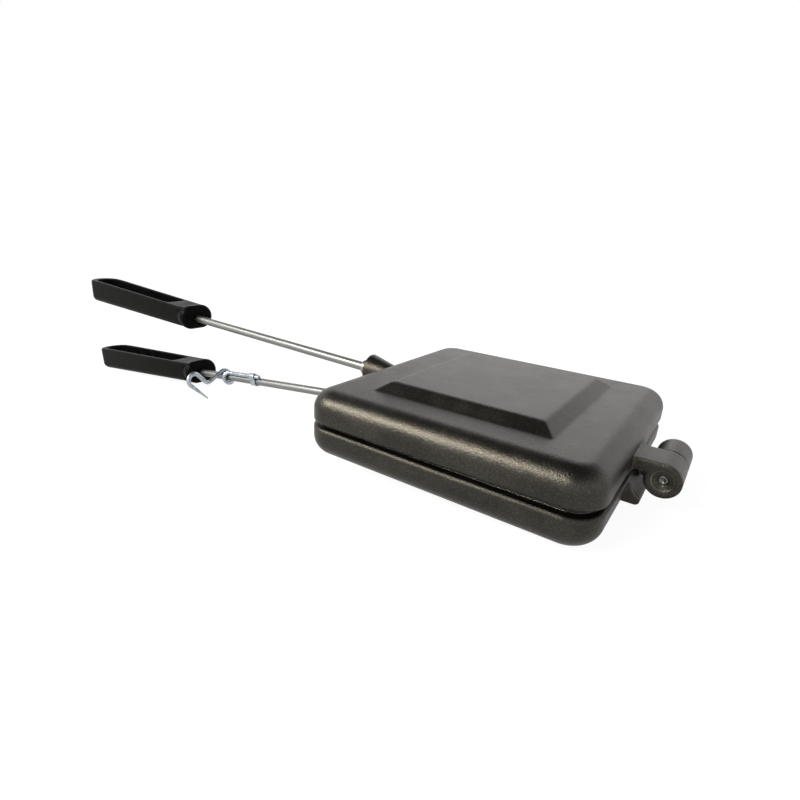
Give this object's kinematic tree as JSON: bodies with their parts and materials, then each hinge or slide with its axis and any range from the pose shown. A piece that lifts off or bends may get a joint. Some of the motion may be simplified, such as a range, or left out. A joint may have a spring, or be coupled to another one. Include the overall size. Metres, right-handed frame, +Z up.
{
  "type": "pie iron",
  "caption": "Hinged square pie iron: two cast pans on steel rods with moulded grips, a wire latch on the lower rod, for toasting filled bread over a flame.",
  "frame": {"origin": "on the table, under the middle of the whole closed iron as it rests on the lower panel's edge and the lower grip's end", "axes": "+X along the iron from the grips to the hinge, +Y along the hinge pin, +Z up from the table"},
  "size_m": [0.454, 0.13, 0.0753],
  "materials": {
    "casting": "dark satin, fine cast grain",
    "pin_steel": "bright ground end",
    "rod_steel": "drawn, zinc plated",
    "nut_steel": "dull",
    "grip_plastic": "moulded, satin",
    "latch_zinc": "bright bluish zinc plating"
  },
  "bodies": {
    "lower_half": {"lower_plate": "casting", "hinge_pin": "pin_steel", "lower_rod": "rod_steel", "lower_rod_nut": "nut_steel", "lower_grip": "grip_plastic"},
    "upper_half": {"upper_plate": "casting", "upper_rod": "rod_steel", "upper_rod_nut": "nut_steel", "upper_grip": "grip_plastic"},
    "latch": {"latch_wire": "latch_zinc", "latch_band": "latch_zinc"}
  },
  "joints": [
    {"name": "plate_hinge", "type": "hinge", "parent": "lower_half", "child": "upper_half", "pos_m": [0.21998, 0, 0.01663], "axis": [0, 1, 0], "range_deg": [0, 171]},
    {"name": "latch_swing", "type": "hinge", "parent": "lower_half", "child": "latch", "pos_m": [-0.06723, 0, 0.01269], "axis": [-0.9991, 0, -0.0418], "range_deg": [-95, 95]}
  ]
}
